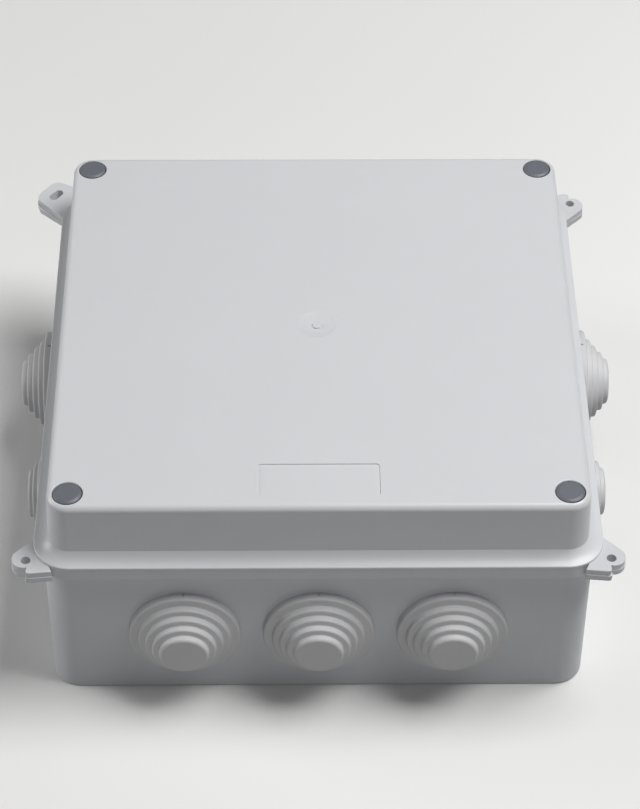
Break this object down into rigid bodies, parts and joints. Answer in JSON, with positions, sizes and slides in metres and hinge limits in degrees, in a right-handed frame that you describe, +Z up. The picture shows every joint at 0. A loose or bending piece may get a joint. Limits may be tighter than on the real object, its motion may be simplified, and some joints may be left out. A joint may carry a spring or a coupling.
{
  "type": "waterproof junction box",
  "caption": "Square surface-mount plastic junction box with a screwed, sealed lid, fixing ears at its corners and stepped rubber cable glands in every side.",
  "frame": {"origin": "centre of the underside of the body", "axes": "+Z up through the lid, +X to the right, -Y the front"},
  "size_m": [0.2356, 0.226, 0.0954],
  "materials": {
    "body_plastic": "satin light grey moulded plastic",
    "lid_plastic": "satin light grey moulded plastic",
    "cap_plastic": "satin dark grey plastic",
    "gland_rubber": "soft light grey rubber",
    "seal_foam": "dark foam",
    "screw_steel": "zinc plated"
  },
  "bodies": {
    "box": {"base": "body_plastic", "rim_seal": "seal_foam", "gland_front_left": "gland_rubber", "gland_front_middle": "gland_rubber", "gland_front_right": "gland_rubber", "gland_back_left": "gland_rubber", "gland_back_middle": "gland_rubber", "gland_back_right": "gland_rubber", "gland_left_front": "gland_rubber", "gland_left_rear": "gland_rubber", "gland_right_front": "gland_rubber", "gland_right_rear": "gland_rubber"},
    "cover": {"lid": "lid_plastic"},
    "screw_fl": {"screw_front_left": "screw_steel"},
    "screw_fr": {"screw_front_right": "screw_steel"},
    "screw_bl": {"screw_back_left": "screw_steel"},
    "screw_br": {"screw_back_right": "screw_steel"},
    "cap_fl": {"cap_front_left": "cap_plastic"},
    "cap_fr": {"cap_front_right": "cap_plastic"},
    "cap_bl": {"cap_back_left": "cap_plastic"},
    "cap_br": {"cap_back_right": "cap_plastic"}
  },
  "joints": [
    {"name": "lid_lift", "type": "slide", "parent": "box", "child": "cover", "axis": [0, 0, 1], "range_m": [0, 0.08]},
    {"name": "screw_turn_fl", "type": "hinge", "parent": "cover", "child": "screw_fl", "pos_m": [-0.0895, -0.0895, 0.072], "axis": [0, 0, 1], "continuous": true},
    {"name": "screw_turn_fr", "type": "hinge", "parent": "cover", "child": "screw_fr", "pos_m": [0.0895, -0.0895, 0.072], "axis": [0, 0, 1], "continuous": true},
    {"name": "screw_turn_bl", "type": "hinge", "parent": "cover", "child": "screw_bl", "pos_m": [-0.0895, 0.0895, 0.072], "axis": [0, 0, 1], "continuous": true},
    {"name": "screw_turn_br", "type": "hinge", "parent": "cover", "child": "screw_br", "pos_m": [0.0895, 0.0895, 0.072], "axis": [0, 0, 1], "continuous": true},
    {"name": "cap_pull_fl", "type": "slide", "parent": "cover", "child": "cap_fl", "axis": [0, 0, 1], "range_m": [0, 0.012]},
    {"name": "cap_pull_fr", "type": "slide", "parent": "cover", "child": "cap_fr", "axis": [0, 0, 1], "range_m": [0, 0.012]},
    {"name": "cap_pull_bl", "type": "slide", "parent": "cover", "child": "cap_bl", "axis": [0, 0, 1], "range_m": [0, 0.012]},
    {"name": "cap_pull_br", "type": "slide", "parent": "cover", "child": "cap_br", "axis": [0, 0, 1], "range_m": [0, 0.012]}
  ]
}
